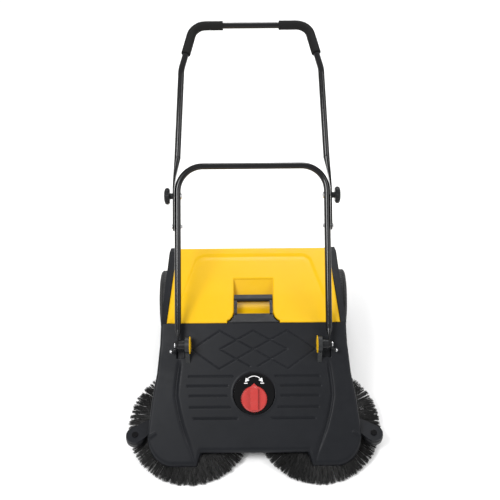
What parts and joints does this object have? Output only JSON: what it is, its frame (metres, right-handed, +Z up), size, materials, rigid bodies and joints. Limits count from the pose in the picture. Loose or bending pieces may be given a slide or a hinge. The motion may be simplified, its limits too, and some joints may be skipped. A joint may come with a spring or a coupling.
{
  "type": "push sweeper",
  "caption": "Walk-behind push sweeper with disc side brushes, a roller brush, a lift-out hopper and a folding U-shaped push handle.",
  "frame": {"origin": "on the floor under the middle of the bounding box", "axes": "-Y is the front with the disc brushes, +Y the operator side, +X right seen from the front, +Z up"},
  "size_m": [0.763, 1.1032, 0.8814],
  "materials": {
    "black_plastic": "grained",
    "dark_plastic": "moulded",
    "grey_plastic": "moulded",
    "yellow_plastic": "satin moulded",
    "red_plastic": "moulded",
    "gloss_black": "gloss",
    "tube_paint": "gloss powder coat",
    "upper_tube": "gloss powder coat",
    "foam": "closed-cell foam",
    "steel": "zinc plated",
    "seal_rubber": "matt",
    "tyre_rubber": "matt",
    "bristle": "polypropylene filament"
  },
  "bodies": {
    "chassis": {"chassis_tub": "dark_plastic", "front_cover": "black_plastic", "side_panel_left": "black_plastic", "side_panel_right": "black_plastic", "dial_plate": "gloss_black", "cover_screws": "steel", "wing_left": "black_plastic", "wing_right": "black_plastic", "guide_pins": "gloss_black", "pivot_ear_left": "grey_plastic", "pivot_ear_right": "grey_plastic", "pivot_cap_left": "yellow_plastic", "pivot_cap_right": "yellow_plastic", "pivot_bolts": "steel", "axle_stubs": "steel", "dirt_lip": "seal_rubber", "drive_belts": "seal_rubber", "brush_belts": "seal_rubber", "gear_bracket_left": "dark_plastic", "gear_bracket_right": "dark_plastic", "brush_spindles": "steel"},
    "lower_handle": {"lower_handle": "tube_paint", "hub_left": "dark_plastic", "hub_right": "dark_plastic", "carriage_bolts": "steel", "fold_screws": "steel"},
    "upper_handle": {"upper_handle": "upper_tube", "upper_end_left": "tube_paint", "upper_end_right": "tube_paint", "grip_left": "foam", "grip_right": "foam"},
    "roller_brush": {"roller_core": "dark_plastic", "roller_bristles": "bristle"},
    "height_dial": {"height_knob": "red_plastic", "height_spindle": "steel"},
    "height_rack": {"height_rack": "steel"},
    "hopper": {"hopper": "yellow_plastic", "hopper_seal": "seal_rubber"},
    "hopper_bail": {"hopper_bail": "dark_plastic"},
    "knob_left": {"knob_left": "dark_plastic"},
    "lever_left": {"clamp_lever_left": "dark_plastic"},
    "wheel_left": {"wheel_left": "dark_plastic", "tyre_left": "tyre_rubber", "hub_cap_left": "dark_plastic"},
    "jack_left": {"jack_shaft_left": "steel"},
    "bevel_left": {"bevel_shaft_left": "steel"},
    "brush_left": {"brush_plate_left": "dark_plastic", "bristles_left": "bristle"},
    "guide_left": {"guide_roller_left": "dark_plastic"},
    "knob_right": {"knob_right": "dark_plastic"},
    "lever_right": {"clamp_lever_right": "dark_plastic"},
    "wheel_right": {"wheel_right": "dark_plastic", "tyre_right": "tyre_rubber", "hub_cap_right": "dark_plastic"},
    "jack_right": {"jack_shaft_right": "steel"},
    "bevel_right": {"bevel_shaft_right": "steel"},
    "brush_right": {"brush_plate_right": "dark_plastic", "bristles_right": "bristle"},
    "guide_right": {"guide_roller_right": "dark_plastic"}
  },
  "joints": [
    {"name": "handle_tilt", "type": "hinge", "parent": "chassis", "child": "lower_handle", "pos_m": [0, -0.23849, 0.268], "axis": [1, 0, 0], "range_deg": [-15, 55]},
    {"name": "handle_fold", "type": "hinge", "parent": "lower_handle", "child": "upper_handle", "pos_m": [0, 0.02642, 0.49828], "axis": [1, 0, 0], "range_deg": [0, 140]},
    {"name": "knob_left_turn", "type": "hinge", "parent": "lower_handle", "child": "knob_left", "pos_m": [-0.2488, 0.0951, 0.55798], "axis": [1, 0, 0], "range_deg": [0, 540]},
    {"name": "lever_left_turn", "type": "hinge", "parent": "chassis", "child": "lever_left", "pos_m": [-0.2289, -0.23849, 0.268], "axis": [1, 0, 0], "range_deg": [-45, 45]},
    {"name": "wheel_left_spin", "type": "hinge", "parent": "chassis", "child": "wheel_left", "pos_m": [-0.288, 0.08851, 0.1], "axis": [1, 0, 0], "continuous": true},
    {"name": "jack_left_spin", "type": "hinge", "parent": "chassis", "child": "jack_left", "pos_m": [-0.245, -0.13748, 0.15], "axis": [1, 0, 0], "continuous": true},
    {"name": "bevel_left_spin", "type": "hinge", "parent": "chassis", "child": "bevel_left", "pos_m": [-0.1915, -0.37474, 0.09306], "axis": [1, 0, 0], "continuous": true},
    {"name": "brush_left_spin", "type": "hinge", "parent": "chassis", "child": "brush_left", "pos_m": [-0.1915, -0.36349, 0.03821], "axis": [0, -0.2011, 0.9796], "continuous": true},
    {"name": "guide_left_spin", "type": "hinge", "parent": "chassis", "child": "guide_left", "pos_m": [-0.352, -0.42048, 0.061], "axis": [0, 0, 1], "continuous": true},
    {"name": "knob_right_turn", "type": "hinge", "parent": "lower_handle", "child": "knob_right", "pos_m": [0.2488, 0.0951, 0.55798], "axis": [1, 0, 0], "range_deg": [0, 540]},
    {"name": "lever_right_turn", "type": "hinge", "parent": "chassis", "child": "lever_right", "pos_m": [0.2289, -0.23849, 0.268], "axis": [1, 0, 0], "range_deg": [-45, 45]},
    {"name": "wheel_right_spin", "type": "hinge", "parent": "chassis", "child": "wheel_right", "pos_m": [0.288, 0.08851, 0.1], "axis": [1, 0, 0], "continuous": true},
    {"name": "jack_right_spin", "type": "hinge", "parent": "chassis", "child": "jack_right", "pos_m": [0.245, -0.13748, 0.15], "axis": [1, 0, 0], "continuous": true},
    {"name": "bevel_right_spin", "type": "hinge", "parent": "chassis", "child": "bevel_right", "pos_m": [0.1915, -0.37474, 0.09306], "axis": [1, 0, 0], "continuous": true},
    {"name": "brush_right_spin", "type": "hinge", "parent": "chassis", "child": "brush_right", "pos_m": [0.1915, -0.36349, 0.03821], "axis": [0, -0.2011, 0.9796], "continuous": true},
    {"name": "guide_right_spin", "type": "hinge", "parent": "chassis", "child": "guide_right", "pos_m": [0.352, -0.42048, 0.061], "axis": [0, 0, 1], "continuous": true},
    {"name": "roller_spin", "type": "hinge", "parent": "chassis", "child": "roller_brush", "pos_m": [0, -0.10249, 0.065], "axis": [1, 0, 0], "continuous": true},
    {"name": "height_turn", "type": "hinge", "parent": "chassis", "child": "height_dial", "pos_m": [0, -0.35001, 0.15239], "axis": [0, -0.592, 0.8059], "range_deg": [-90, 90]},
    {"name": "rack_slide", "type": "slide", "parent": "chassis", "child": "height_rack", "axis": [0, 0.8059, 0.592], "range_m": [-0.016, 0.016]},
    {"name": "hopper_lift", "type": "slide", "parent": "chassis", "child": "hopper", "axis": [0, 0.7547, 0.6561], "range_m": [0, 0.3]},
    {"name": "bail_swing", "type": "hinge", "parent": "hopper", "child": "hopper_bail", "pos_m": [0, -0.16348, 0.2806], "axis": [1, 0, 0], "range_deg": [0, 100]}
  ],
  "couplings": [
    {"joint": "jack_left_spin", "follows": "wheel_left_spin", "ratio": 1.6},
    {"joint": "bevel_left_spin", "follows": "wheel_left_spin", "ratio": 2},
    {"joint": "brush_left_spin", "follows": "wheel_left_spin", "ratio": 0.8},
    {"joint": "jack_right_spin", "follows": "wheel_right_spin", "ratio": 1.6},
    {"joint": "bevel_right_spin", "follows": "wheel_right_spin", "ratio": 2},
    {"joint": "brush_right_spin", "follows": "wheel_right_spin", "ratio": -0.8},
    {"joint": "roller_spin", "follows": "wheel_right_spin", "ratio": 1.6},
    {"joint": "rack_slide", "follows": "height_turn", "m_per_rad": 0.009868}
  ]
}
